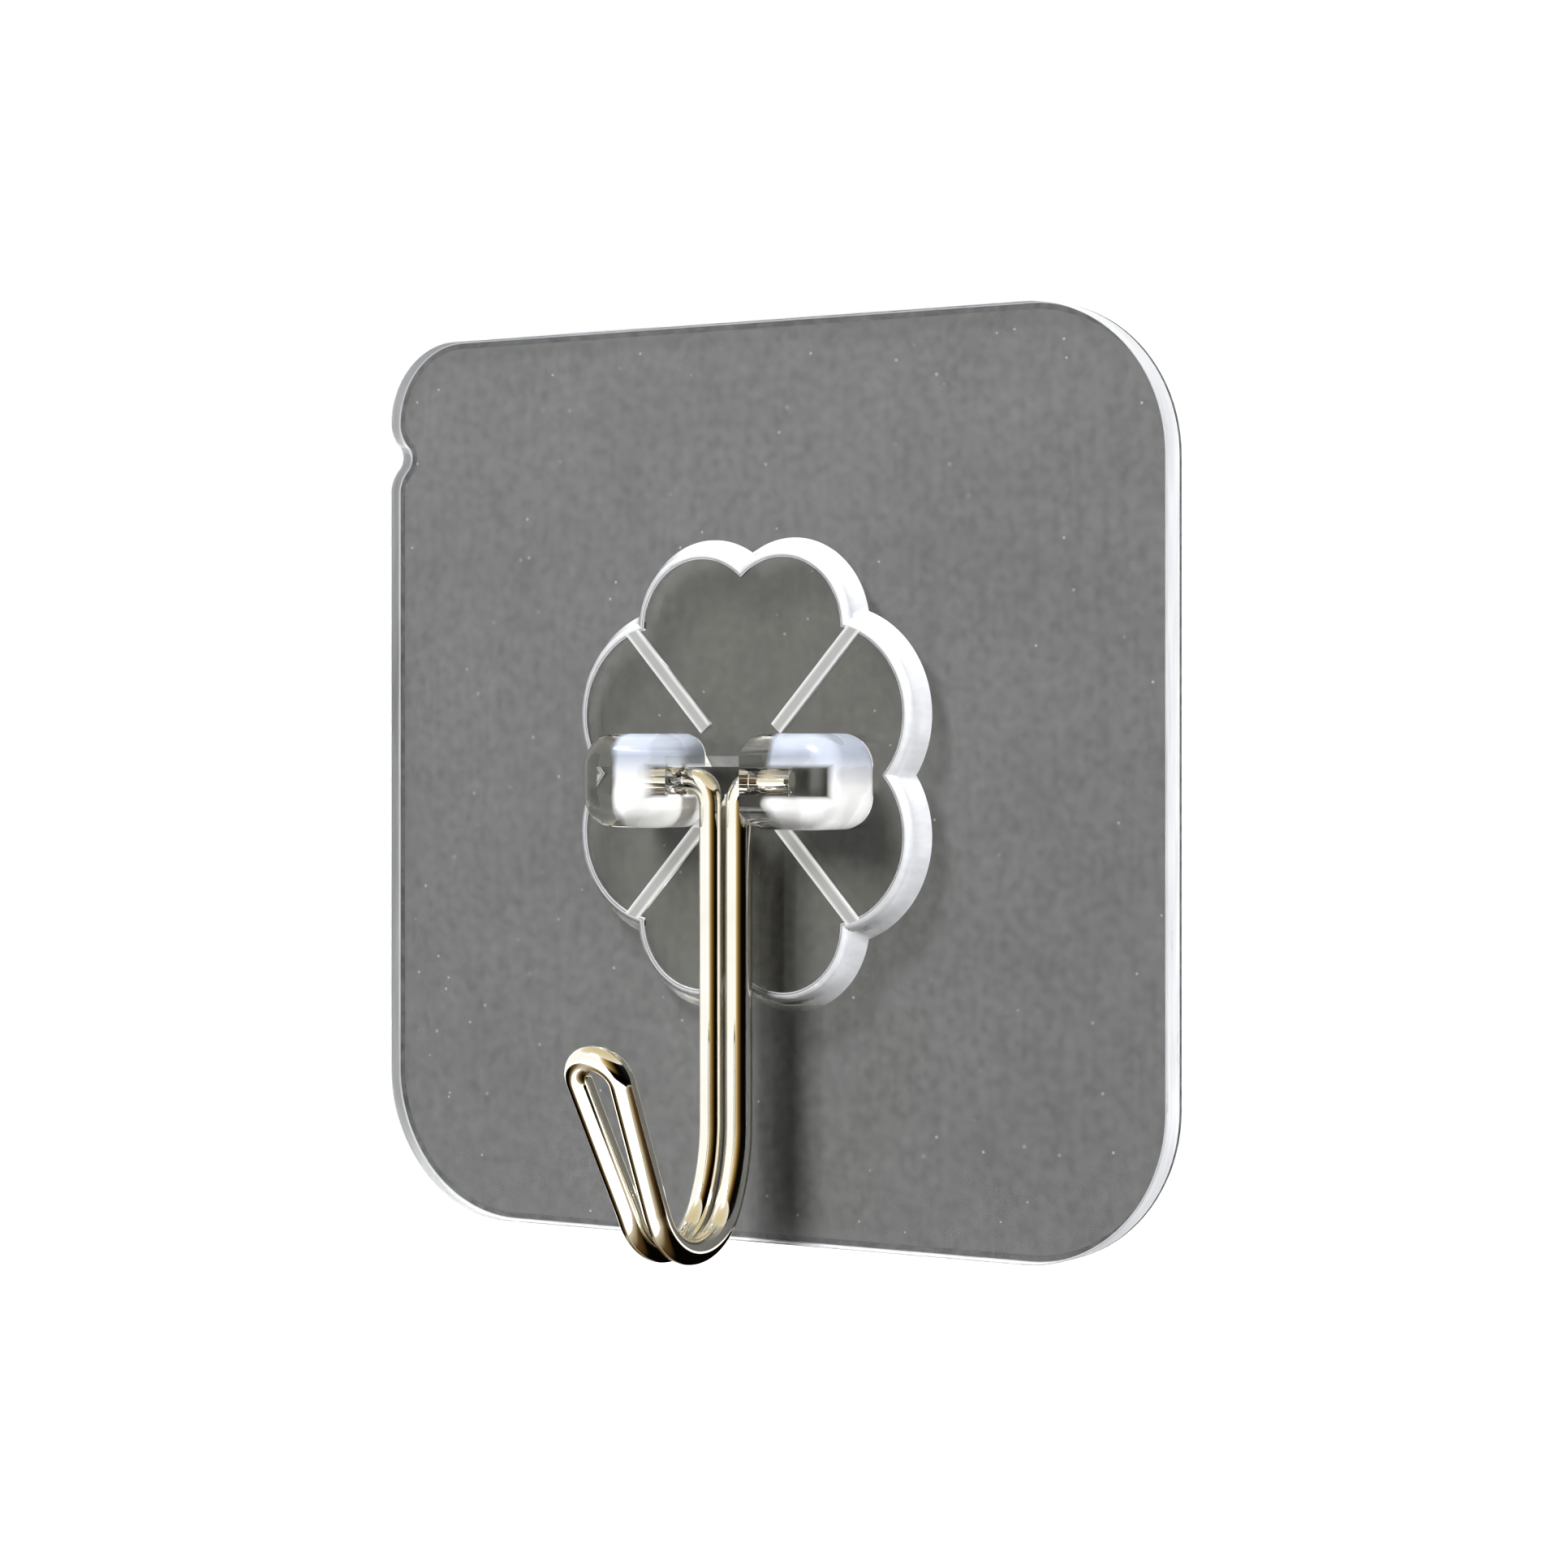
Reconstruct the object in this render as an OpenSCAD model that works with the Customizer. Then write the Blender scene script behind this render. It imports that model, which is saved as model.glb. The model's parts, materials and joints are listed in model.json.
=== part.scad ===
/* [Plate] */
// Width and height of the square plate
plate_size = 60; // [50:1:80]
// Thickness of the clear plate
plate_t = 1.8; // [1:0.1:3]
// Thickness of the adhesive film behind the plate
film_t = 0.2; // [0.1:0.05:0.5]
// Radius of the three wide corners
corner_r = 10; // [6:0.5:14]
// Radius of the upper left corner
tight_corner_r = 5.5; // [3:0.5:8]
// Depth of the peeling notch in the left edge
notch_depth = 1.05; // [0.6:0.05:1.5]
// Length of the notch along the edge
notch_l = 4.7; // [3.5:0.1:7]
// Radius at the bottom of the notch
notch_r = 1.1; // [0.5:0.1:1.5]

/* [Seat] */
// Radius of the lobes at the left and right
side_lobe_r = 7; // [6.5:0.1:7.5]
// Distance of the side lobes' centres from the upright middle line
side_lobe_x = 6.5; // [5.5:0.1:7]
// Distance of the side lobes' centres above and below the seat's centre
side_lobe_z = 3.85; // [3.5:0.05:4.2]
// Radius of the lobes at the top and bottom
end_lobe_r = 5.8; // [5.4:0.1:6.2]
// Distance of the end lobes' centres from the upright middle line
end_lobe_x = 3.1; // [2.8:0.1:3.4]
// Distance of the end lobes' centres above and below the seat's centre
end_lobe_z = 9.5; // [9:0.1:10]
// Height of the seat's centre above the plate's centre
seat_lift = 0.4; // [0:0.1:0.8]
// Thickness of the seat at its rim
seat_t = 1.5; // [1.2:0.1:2]
// Lean of the seat's side wall, from its foot to its rim
side_lean = 0.65; // [0.2:0.05:0.8]
// Radius of the rim's outer edge
rim_round = 0.5; // [0.1:0.05:0.5]
// Width of the rim around the petals
rim_w = 0.65; // [0.55:0.05:0.9]
// Depth of the petals below the rim
petal_depth = 0.25; // [0.15:0.05:0.6]
// Width of the diagonal ribs
rib_w = 1; // [0.6:0.1:1.4]
// Angle of the ribs from the level line
rib_angle = 47.5; // [42:0.5:52]
// Distance of the ribs' inner ends from the seat's centre
rib_start = 4; // [3:0.1:5]

/* [Ears] */
// Thickness of clear plastic in front of the pins
ear_wall = 1.85; // [0.8:0.05:2.5]
// Thickness of clear plastic above and below the pins
ear_cheek = 2.15; // [1.5:0.05:3]
// Thickness of the ears' outer end walls
ear_end_wall = 1; // [0.8:0.1:2.5]
// Radius of the ears' outer corners, seen from the front
ear_corner_r = 2.2; // [1.8:0.1:2.6]
// Radius of the ears' inner corners, seen from the front
ear_inner_r = 1.6; // [0.5:0.1:2]
// Radius of the ears' front edges
ear_edge_r = 1.4; // [0.6:0.1:1.7]
// Length of the slot for each pin, from the ear's inner face
slot_l = 6.1; // [4:0.1:7]

/* [Wire hook] */
// Diameter of the wire
wire_d = 1.7; // [1.4:0.1:2.2]
// Gap between the two legs
leg_gap = 0.35; // [0.05:0.05:0.5]
// Space between the legs and the seat's rim
leg_space = 0.85; // [0.5:0.05:1.5]
// Height of the straight legs' lower ends below the pins
leg_l = 22; // [16:0.25:30]
// Length of each straight pin
pin_l = 3.1; // [2.5:0.1:3.8]
// Radius of the bend from pin to leg, on the wire's centre line
pin_bend_r = 1.5; // [1.2:0.05:2]
// Radius of the first, easy bend below the legs
easy_bend_r = 11; // [8:0.5:14]
// Angle of the easy bend
easy_bend_angle = 25; // [10:1:35]
// Radius of the tight bend that carries the load
tight_bend_r = 4.4; // [4:0.05:6]
// Lean of the tip away from upright
tip_lean = 28; // [15:1:40]
// Length of the straight runs in the tip
tip_run = 9.35; // [7:0.05:12]
// Radius of the loop that ends the tip
loop_r = 1.6; // [1.5:0.05:2.2]
// Radius of the slight bends that open the loop
flare_r = 6; // [4:0.5:9]

/* [Hidden] */
$fn = 64;

// Growth of the notch's shoulders, by which they cross its round bottom
notch_blend = 0.06;
// Clearance of the pins in their bores, on the radius
pin_clear = 0.05;
// Clearance between the pin bends and the ears' inner faces
bend_clear = 0.3;
// Room at the pins' ends, before the square pockets begin
end_clear = 0.25;
// Chamfer along the open middle of the slot
slot_chamfer = 0.7;
// Overrun of every cut
over = 0.5;
// Loss of radius where the wire is drawn round a bend
bend_draw = 0.01;
// Length by which each straight run reaches into the bends at its ends
lap = 0.05;
// Shortest straight run between two bends
bend_rest = 0.4;

wire_r = wire_d / 2;
plate_half = plate_size / 2;
plate_front = film_t + plate_t;
notch_shoulder_r = (notch_depth^2 + (notch_l / 2)^2) / (2 * notch_depth) - notch_r + notch_blend;
notch_z = plate_half - tight_corner_r - notch_l / 2;

pin_h = seat_t + leg_space + wire_r;
bore_r = wire_r + pin_clear;
leg_x = wire_r + leg_gap / 2;
pin_inner_x = leg_x + pin_bend_r;
pin_outer_x = pin_inner_x + pin_l;
pocket_x = pin_outer_x + end_clear;
ear_inner_x = pin_inner_x + bend_clear;
slot_end_x = ear_inner_x + slot_l;
ear_outer_x = slot_end_x + ear_end_wall;
ear_half_z = bore_r + ear_cheek;
ear_h = pin_h + bore_r + ear_wall;
rib_l = end_lobe_z + end_lobe_r;

// The two arms of the tip open by this angle, so that they meet the loop's arc smoothly
loop_reach = loop_r + flare_r;
flare = acos((leg_x + flare_r) / norm([tip_run, loop_reach])) - atan2(tip_run, loop_reach);

// Lays a shape drawn in X and Y against the wall: Y becomes up, and Z points away from the wall
module off_wall(distance) {
    translate([0, -distance, 0]) rotate([90, 0, 0]) children();
}

// A bar of the given outline, drawn in Y and Z, that runs along X between two places
module along_x(from_x, to_x) {
    translate([from_x, 0, 0]) rotate([90, 0, 90]) linear_extrude(to_x - from_x) children();
}

module notch_outline() {
    bottom_x = notch_depth - notch_r;
    touch = notch_r / (notch_r + notch_shoulder_r);
    touch_x = bottom_x + (notch_shoulder_r - bottom_x) * touch;
    touch_z = notch_l / 2 * touch;
    difference() {
        union() {
            translate([bottom_x, 0]) circle(notch_r);
            polygon([
                [-over, -notch_l / 2], [0, -notch_l / 2], [touch_x, -touch_z],
                [touch_x, touch_z], [0, notch_l / 2], [-over, notch_l / 2]
            ]);
        }
        for (side = [-1, 1])
            translate([notch_shoulder_r, side * notch_l / 2]) circle(notch_shoulder_r);
    }
}

// What is cut off to round the corner at a place: sx and sz give the corner's side
module corner_cut(x, z, sx, sz, r) {
    translate([x - sx * r, z - sz * r]) difference() {
        translate([sx > 0 ? 0 : -r - over, sz > 0 ? 0 : -r - over]) square(r + over);
        circle(r);
    }
}

module plate_outline() {
    difference() {
        square(plate_size, center = true);
        corner_cut(-plate_half, plate_half, -1, 1, tight_corner_r);
        corner_cut(plate_half, plate_half, 1, 1, corner_r);
        corner_cut(plate_half, -plate_half, 1, -1, corner_r);
        corner_cut(-plate_half, -plate_half, -1, -1, corner_r);
        translate([-plate_half, notch_z]) notch_outline();
    }
}

module adhesive_film() {
    color([0.5, 0.5, 0.5])
        off_wall(0) linear_extrude(film_t) plate_outline();
}

module backing_plate() {
    color([0.85, 0.87, 0.88, 0.4])
        off_wall(film_t) linear_extrude(plate_t) plate_outline();
}

// One lobe of the seat: a low button with a leaning wall and a rounded rim
module lobe(r) {
    top_r = r - side_lean;
    rotate_extrude() {
        polygon([
            [0, 0], [r, 0], [top_r, seat_t - rim_round],
            [top_r - rim_round, seat_t], [0, seat_t]
        ]);
        translate([top_r - rim_round, seat_t - rim_round]) intersection() {
            circle(rim_round);
            square(rim_round);
        }
    }
}

// Repeats a shape at four mirrored places around the seat's centre
module at_lobes(x, z) {
    for (sx = [-1, 1], sz = [-1, 1])
        translate([sx * x, sz * z]) children();
}

module petal_outline() {
    inset = side_lean + rim_w;
    difference() {
        union() {
            at_lobes(side_lobe_x, side_lobe_z) circle(side_lobe_r - inset);
            at_lobes(end_lobe_x, end_lobe_z) circle(end_lobe_r - inset);
            square([2 * side_lobe_x, 2 * end_lobe_z], center = true);
        }
        for (a = [rib_angle, 180 - rib_angle, 180 + rib_angle, -rib_angle])
            rotate(a) translate([rib_start, -rib_w / 2]) square([rib_l, rib_w]);
    }
}

module clover() {
    difference() {
        union() {
            at_lobes(side_lobe_x, side_lobe_z) lobe(side_lobe_r);
            at_lobes(end_lobe_x, end_lobe_z) lobe(end_lobe_r);
            linear_extrude(seat_t) square([2 * side_lobe_x, 2 * end_lobe_z], center = true);
        }
        translate([0, 0, seat_t - petal_depth]) linear_extrude(petal_depth + over) petal_outline();
    }
}

// A wall from the origin outwards and up to the ears' front, with its outer front edge rounded
module ear_profile(w) {
    square([w - ear_edge_r, ear_h]);
    square([w, ear_h - ear_edge_r]);
    translate([w - ear_edge_r, ear_h - ear_edge_r]) intersection() {
        circle(ear_edge_r);
        square(ear_edge_r);
    }
}

// A bar with a rounded front and round corners, whose outer end is rounded to the front as well
module ear() {
    corner_x = ear_outer_x - ear_corner_r;
    corner_z = ear_half_z - ear_corner_r;
    difference() {
        along_x(ear_inner_x, corner_x) {
            ear_profile(ear_half_z);
            mirror([1, 0]) ear_profile(ear_half_z);
        }
        translate([0, 0, -over]) linear_extrude(ear_h + 2 * over)
            for (sz = [-1, 1])
                corner_cut(ear_inner_x, sz * ear_half_z, -1, sz, ear_inner_r);
    }
    translate([corner_x, corner_z, 0]) rotate([90, 0, 0])
        linear_extrude(2 * corner_z) ear_profile(ear_corner_r);
    for (turn = [0, 1])
        mirror([0, turn, 0]) translate([corner_x, corner_z, 0])
            rotate_extrude(angle = 90) ear_profile(ear_corner_r);
}

// The way in for the pins: a slot from the seat's back, with a round front end along the pins
// and a square one in the pockets beyond them
module pin_slot() {
    along_x(-slot_end_x, slot_end_x)
        translate([-bore_r, -over]) square([2 * bore_r, pin_h + over]);
    translate([-pocket_x, 0, pin_h]) rotate([0, 90, 0]) cylinder(h = 2 * pocket_x, r = bore_r);
    for (turn = [0, 1])
        mirror([turn, 0, 0]) along_x(pocket_x, slot_end_x)
            translate([-bore_r, -over]) square([2 * bore_r, pin_h + bore_r + over]);
    along_x(-ear_inner_x, ear_inner_x)
        polygon([
            [-bore_r, seat_t - petal_depth - slot_chamfer],
            [bore_r, seat_t - petal_depth - slot_chamfer],
            [bore_r + slot_chamfer + over, seat_t - petal_depth + over],
            [-bore_r - slot_chamfer - over, seat_t - petal_depth + over]
        ]);
}

module hook_seat() {
    color([0.9, 0.92, 0.94, 0.4]) off_wall(plate_front) difference() {
        union() {
            translate([0, seat_lift, 0]) clover();
            ear();
            mirror([1, 0, 0]) ear();
        }
        pin_slot();
    }
}

// The wire is drawn as a path. A run goes straight ahead along Z, a bend turns towards X,
// and a roll turns the path about itself. Each carries what comes after it.
module run(l) {
    translate([0, 0, -lap]) cylinder(h = l + 2 * lap, r = wire_r);
    translate([0, 0, l]) children();
}

module bend(r, angle) {
    translate([r, 0, 0]) rotate([90, 0, 180])
        rotate_extrude(angle = angle) translate([r, 0]) circle(wire_r - bend_draw);
    translate([r, 0, 0]) rotate([0, angle, 0]) translate([-r, 0, 0]) children();
}

module roll(angle) {
    rotate([0, 0, angle]) children();
}

// From the right pin's free end down the leg, round the bends and up to the loop, which comes last
module wire_half() {
    translate([pin_outer_x - lap, -plate_front - pin_h, 0]) rotate([0, -90, 0])
        roll(180) run(pin_l - lap)
        bend(pin_bend_r, 90)
        roll(90) run(leg_l - pin_bend_r)
        bend(easy_bend_r, easy_bend_angle)
        run(bend_rest)
        bend(tight_bend_r, 180 - tip_lean - easy_bend_angle)
        run(bend_rest)
        roll(-90) bend(flare_r, flare)
        run(tip_run)
        roll(180) children();
}

module wire_hook() {
    color([0.8, 0.76, 0.66]) {
        wire_half() bend(loop_r, 180 + 2 * flare);
        mirror([1, 0, 0]) wire_half();
    }
}

adhesive_film();
backing_plate();
hook_seat();
wire_hook();
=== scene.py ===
import json
import math
import bpy
import bmesh
from mathutils import Matrix, Vector


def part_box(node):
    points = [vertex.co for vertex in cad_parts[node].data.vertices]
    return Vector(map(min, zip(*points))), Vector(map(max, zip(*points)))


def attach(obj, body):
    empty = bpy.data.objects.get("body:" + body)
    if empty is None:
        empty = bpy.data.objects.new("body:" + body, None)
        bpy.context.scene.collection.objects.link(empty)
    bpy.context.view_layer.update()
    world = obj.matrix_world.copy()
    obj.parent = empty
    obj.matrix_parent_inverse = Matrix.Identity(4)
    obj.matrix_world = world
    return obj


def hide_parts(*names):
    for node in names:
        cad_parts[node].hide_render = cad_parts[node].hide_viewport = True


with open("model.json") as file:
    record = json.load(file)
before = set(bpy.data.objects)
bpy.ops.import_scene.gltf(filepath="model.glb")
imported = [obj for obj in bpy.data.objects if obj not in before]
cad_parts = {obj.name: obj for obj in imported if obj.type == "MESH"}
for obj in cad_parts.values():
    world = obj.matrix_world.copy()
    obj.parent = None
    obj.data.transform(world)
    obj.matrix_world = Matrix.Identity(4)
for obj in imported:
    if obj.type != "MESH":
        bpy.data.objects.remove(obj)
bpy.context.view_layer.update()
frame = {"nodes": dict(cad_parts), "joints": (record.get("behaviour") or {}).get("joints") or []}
scene = bpy.context.scene
scene.view_settings.view_transform = "Standard"
mm = 0.001
tiny = 0.001 * mm        # vertices closer than this are one
sharpAngle = 32.0        # degrees, edges that turn less are shaded smooth
quarterTurn = 90.0
halfTurn = 180.0
fullTurn = 360.0
print("frame loaded:", ", ".join(sorted(frame["nodes"])))

# the camera stands to the right of the hook, level with it
cameraView = {
    "place": (133.94, -207.24, 2.5),  # mm from the middle of the plate's back
    "turn": 32.655,                   # degrees to the left of square to the wall
    "lens": 86.6,                     # mm
    "sensor": 36.0,
    "shiftY": -0.0267,                # in widths of the sensor
    "nearest": 10.0,                  # mm, what is closer isn't drawn
}


def setCamera():
    data = bpy.data.cameras.new("camera")
    data.lens = cameraView["lens"]
    data.sensor_width = cameraView["sensor"]
    data.shift_y = cameraView["shiftY"]
    data.clip_start = cameraView["nearest"] * mm
    camera = bpy.data.objects.new("camera", data)
    camera.location = Vector(cameraView["place"]) * mm
    camera.rotation_euler = (math.radians(quarterTurn), 0, math.radians(cameraView["turn"]))
    scene.collection.objects.link(camera)
    scene.camera = camera


setCamera()
print("camera set")


def toLinear(hexColour):
    parts = [int(hexColour[i:i + 2], 16) / 255 for i in (1, 3, 5)]
    return [p / 12.92 if p <= 0.04045 else ((p + 0.055) / 1.055) ** 2.4 for p in parts] + [1.0]


# links inputs of a node, each to a socket or to the first output of another node
def linkTo(tree, node, links):
    for name, source in links.items():
        socket = source.outputs[0] if isinstance(source, bpy.types.Node) else source
        tree.links.new(socket, node.inputs[name])


# adds a node: a setting is an input, the stops of a ramp or a property
def addNode(tree, kind, settings=None, links=None):
    node = tree.nodes.new(kind)
    for name, value in (settings or {}).items():
        if name == "stops":
            stops = node.color_ramp.elements
            while len(stops) < len(value):
                stops.new(1.0)
            for stop, (position, hexColour) in zip(stops, value):
                stop.position = position
                stop.color = toLinear(hexColour)
        elif isinstance(name, int) or name in node.inputs:
            node.inputs[name].default_value = value
        else:
            setattr(node, name, value)
    linkTo(tree, node, links or {})
    return node


# a material and its tree, with constants on its shader
def newMaterial(name, constants=None):
    material = bpy.data.materials.new(name)
    material.use_nodes = True
    tree = material.node_tree
    for socket, value in (constants or {}).items():
        tree.nodes["Principled BSDF"].inputs[socket].default_value = value
    return material, tree


# how many times a pattern of this size in mm repeats in a metre
def perMetre(size):
    return 1 / (size * mm)


# a clear plastic lets lamps and scattered light pass straight through, but not where it is blocked
def letLightThrough(tree, tint, blocked=None):
    path = addNode(tree, "ShaderNodeLightPath")
    passes = addNode(tree, "ShaderNodeMath", {"operation": "MAXIMUM"},
                     {0: path.outputs["Is Shadow Ray"], 1: path.outputs["Is Diffuse Ray"]})
    through = addNode(tree, "ShaderNodeBsdfTransparent", {"Color": toLinear(tint)})
    if blocked is not None:
        passed = addNode(tree, "ShaderNodeMix",
                         {"data_type": "RGBA", "A": toLinear(tint), "B": toLinear("#000000")},
                         {"Factor": blocked})
        linkTo(tree, through, {"Color": passed.outputs["Result"]})
    mix = addNode(tree, "ShaderNodeMixShader", None,
                  {0: passes, 1: tree.nodes["Principled BSDF"], 2: through})
    linkTo(tree, tree.nodes["Material Output"], {"Surface": mix})


def newPiece(name, bm, materials, body, node):
    for face in bm.faces:
        face.smooth = True
    mesh = bpy.data.meshes.new(name)
    bm.to_mesh(mesh)
    bm.free()
    mesh.set_sharp_from_angle(angle=math.radians(sharpAngle))
    for material in materials:
        mesh.materials.append(material)
    piece = bpy.data.objects.new(name, mesh)
    scene.collection.objects.link(piece)
    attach(piece, body)
    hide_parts(node)
    return piece


# the film has the plate's outline
plateShape = {
    "corner": 10.0,         # mm, the three wide corners
    "tightCorner": 5.5,     # the upper left one
    "notchDepth": 1.05,
    "notchLength": 4.7,
    "notchBottom": 1.1,     # radius
    "cornerSteps": 24,
    "frontRound": 0.5,
    "frontSteps": 6,
    "backRound": 0.15,
    "backSteps": 3,
    "air": 0.03,            # hairline of air behind the plate and in front of it
    "flatRim": 0.05,        # a narrow border that keeps the flat faces flat to the eye
    "ior": 1.53,
    "handling": 7.0,        # mm, sizes of its patterns
    "wave": 5.0,
    "waveDepth": 0.03,
    "cutLine": (6.0, 0.3),  # length and width
    "cutDepth": 0.02,
}


# a square face with rounded corners and a peeling notch at its upper left, at depth y
def outlineFace(bm, y):
    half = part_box("backing_plate")[1].x
    depth = plateShape["notchDepth"] * mm
    reach = plateShape["notchLength"] / 2 * mm
    bottom = plateShape["notchBottom"] * mm
    tight = plateShape["tightCorner"] * mm
    wide = plateShape["corner"] * mm
    shoulder = (depth ** 2 + reach ** 2) / (2 * depth) - bottom
    slope = math.atan2(reach, shoulder - depth + bottom)  # turn of the edge into the notch
    shoulderCut = shoulder * math.tan(slope / 2)
    bottomCut = bottom * math.tan(slope)
    notchZ = half - tight - reach
    notchHalf = reach - shoulderCut
    notchX = -half + notchHalf * math.tan(slope)
    almost = 0.999       # so that two roundings never meet in one vertex
    corners = [  # X, Z and how far the rounding reaches along each edge
        (-half, -half, wide), (half, -half, wide), (half, half, wide), (-half, half, tight * almost),
        (-half, notchZ + notchHalf, shoulderCut * almost), (notchX, notchZ, bottomCut * almost),
        (-half, notchZ - notchHalf, shoulderCut * almost),
    ]
    verts = [bm.verts.new((x, y, z)) for x, z, cut in corners]
    bm.faces.new(verts)
    for vert, (x, z, cut) in zip(verts, corners):
        bmesh.ops.bevel(bm, geom=[vert], offset=cut, offset_type="OFFSET", affect="VERTICES", profile=0.5,
                        segments=plateShape["cornerSteps"], material=-1, clamp_overlap=False)


# thickens the outline from its back to its front
def thicken(bm, thickness):
    front = bmesh.ops.extrude_face_region(bm, geom=bm.faces[:], use_keep_orig=True)["geom"]
    frontVerts = [v for v in front if isinstance(v, bmesh.types.BMVert)]
    bmesh.ops.translate(bm, verts=frontVerts, vec=(0, -thickness, 0))
    bmesh.ops.recalc_face_normals(bm, faces=bm.faces)


# the face furthest to the front, and the largest one where several are level
def frontFace(bm):
    return min(bm.faces, key=lambda f: (round(f.calc_center_median().y / tiny), -f.calc_area()))


def backFace(bm):
    return max(bm.faces, key=lambda f: (round(f.calc_center_median().y / tiny), f.calc_area()))


filmShape = {
    "border": 0.5,          # mm, its rim of painted shade
    "cloud": 9.0,           # mm, sizes of its patterns
    "mottle": 0.8,
    "mottleDepth": 0.01,
    "streak": (0.35, 6.0),  # width and length
    "grainGap": 1.6,
    "grainRadius": 0.06,    # as a share of the gap
    "borderMottle": 0.6,
}


# Grey self-adhesive film, coated: satin, finely mottled, with pale and dark grains and faint coating streaks
def coatedFilm():
    material, tree = newMaterial("coatedGreyFilm", {"Specular IOR Level": 0.1})
    place = addNode(tree, "ShaderNodeTexCoord").outputs["Object"]
    cloud = addNode(tree, "ShaderNodeTexNoise", {"Scale": perMetre(filmShape["cloud"]), "Detail": 3.0},
                    {"Vector": place})
    tone = addNode(tree, "ShaderNodeValToRGB", {"stops": [(0.3, "#747574"), (0.7, "#7b7c7b")]},
                   {"Fac": cloud})
    mottle = addNode(tree, "ShaderNodeTexNoise",
                     {"Scale": perMetre(filmShape["mottle"]), "Detail": 4.0, "Roughness": 0.65},
                     {"Vector": place})
    mottleTone = addNode(tree, "ShaderNodeValToRGB", {"stops": [(0.3, "#d9d9d9"), (0.7, "#ffffff")]},
                         {"Fac": mottle})
    mottled = addNode(tree, "ShaderNodeMix", {"data_type": "RGBA", "blend_type": "MULTIPLY", "Factor": 1.0},
                      {"A": tone, "B": mottleTone})
    across, along = (perMetre(size) for size in filmShape["streak"])
    drawn = addNode(tree, "ShaderNodeMapping", {"Scale": (across, across, along)}, {"Vector": place})
    streak = addNode(tree, "ShaderNodeTexNoise", {"Scale": 1.0, "Detail": 2.0}, {"Vector": drawn})
    streakTone = addNode(tree, "ShaderNodeValToRGB", {"stops": [(0.35, "#f8f8f8"), (0.65, "#ffffff")]},
                         {"Fac": streak})
    streaked = addNode(tree, "ShaderNodeMix", {"data_type": "RGBA", "blend_type": "MULTIPLY", "Factor": 1.0},
                       {"A": mottled.outputs["Result"], "B": streakTone})
    cells = addNode(tree, "ShaderNodeTexVoronoi", {"Scale": perMetre(filmShape["grainGap"])},
                    {"Vector": place})
    isGrain = addNode(tree, "ShaderNodeMath", {"operation": "LESS_THAN", 1: filmShape["grainRadius"]},
                      {0: cells.outputs["Distance"]})
    grainTone = addNode(tree, "ShaderNodeValToRGB", {"stops": [(0.35, "#5e5f5e"), (0.65, "#a6a7a6")]},
                        {"Fac": cells.outputs["Color"]})
    grained = addNode(tree, "ShaderNodeMix", {"data_type": "RGBA"},
                      {"Factor": isGrain, "A": streaked.outputs["Result"], "B": grainTone})
    shine = addNode(tree, "ShaderNodeMapRange", {"To Min": 0.45, "To Max": 0.6}, {"Value": mottle})
    bump = addNode(tree, "ShaderNodeBump", {"Strength": 0.2, "Distance": filmShape["mottleDepth"] * mm},
                   {"Height": mottle})
    linkTo(tree, tree.nodes["Principled BSDF"],
           {"Base Color": grained.outputs["Result"], "Roughness": shine, "Normal": bump})
    return material


# The film's cut border, with painted shade: a dark, mottled rim along its edge
def filmBorder():
    material, tree = newMaterial("shadedFilmBorder")
    place = addNode(tree, "ShaderNodeTexCoord").outputs["Object"]
    borderMottle = addNode(tree, "ShaderNodeTexNoise", {"Scale": perMetre(filmShape["borderMottle"]), "Detail": 4.0},
                   {"Vector": place})
    tone = addNode(tree, "ShaderNodeValToRGB", {"stops": [(0.35, "#303131"), (0.65, "#565757")]},
                   {"Fac": borderMottle})
    shine = addNode(tree, "ShaderNodeMapRange", {"To Min": 0.5, "To Max": 0.8}, {"Value": borderMottle})
    linkTo(tree, tree.nodes["Principled BSDF"], {"Base Color": tone, "Roughness": shine})
    return material


def makeFilm():
    low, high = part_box("adhesive_film")
    bm = bmesh.new()
    outlineFace(bm, high.y)
    thicken(bm, high.y - low.y)
    coated, border = range(2)  # places in the list of materials
    middle = frontFace(bm)
    for face in bm.faces:
        face.material_index = border
    bmesh.ops.inset_region(bm, faces=[middle], thickness=filmShape["border"] * mm)
    middle.material_index = coated
    backFace(bm).material_index = coated
    newPiece("greyFilm", bm, [coatedFilm(), filmBorder()], "base", "adhesive_film")


makeFilm()
print("film made")


# Clear PVC sheet, calendered: colourless, with a fine satin front that blurs what it mirrors
def calenderedPvc():
    material, tree = newMaterial("clearCalenderedPvc",
                                 {"Base Color": toLinear("#fafafa"), "Transmission Weight": 1.0,
                                  "IOR": plateShape["ior"], "Specular Tint": toLinear("#606060")})
    place = addNode(tree, "ShaderNodeTexCoord").outputs["Object"]
    handled = addNode(tree, "ShaderNodeTexNoise", {"Scale": perMetre(plateShape["handling"]), "Detail": 4.0},
                      {"Vector": place})
    shine = addNode(tree, "ShaderNodeMapRange",
                    {"From Min": 0.35, "From Max": 0.75, "To Min": 0.06, "To Max": 0.14},
                    {"Value": handled})
    wave = addNode(tree, "ShaderNodeTexNoise", {"Scale": perMetre(plateShape["wave"]), "Detail": 1.0},
                   {"Vector": place})
    bump = addNode(tree, "ShaderNodeBump", {"Strength": 0.25, "Distance": plateShape["waveDepth"] * mm},
                   {"Height": wave})
    linkTo(tree, tree.nodes["Principled BSDF"], {"Roughness": shine, "Normal": bump})
    letLightThrough(tree, "#f6f6f6")
    return material


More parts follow.
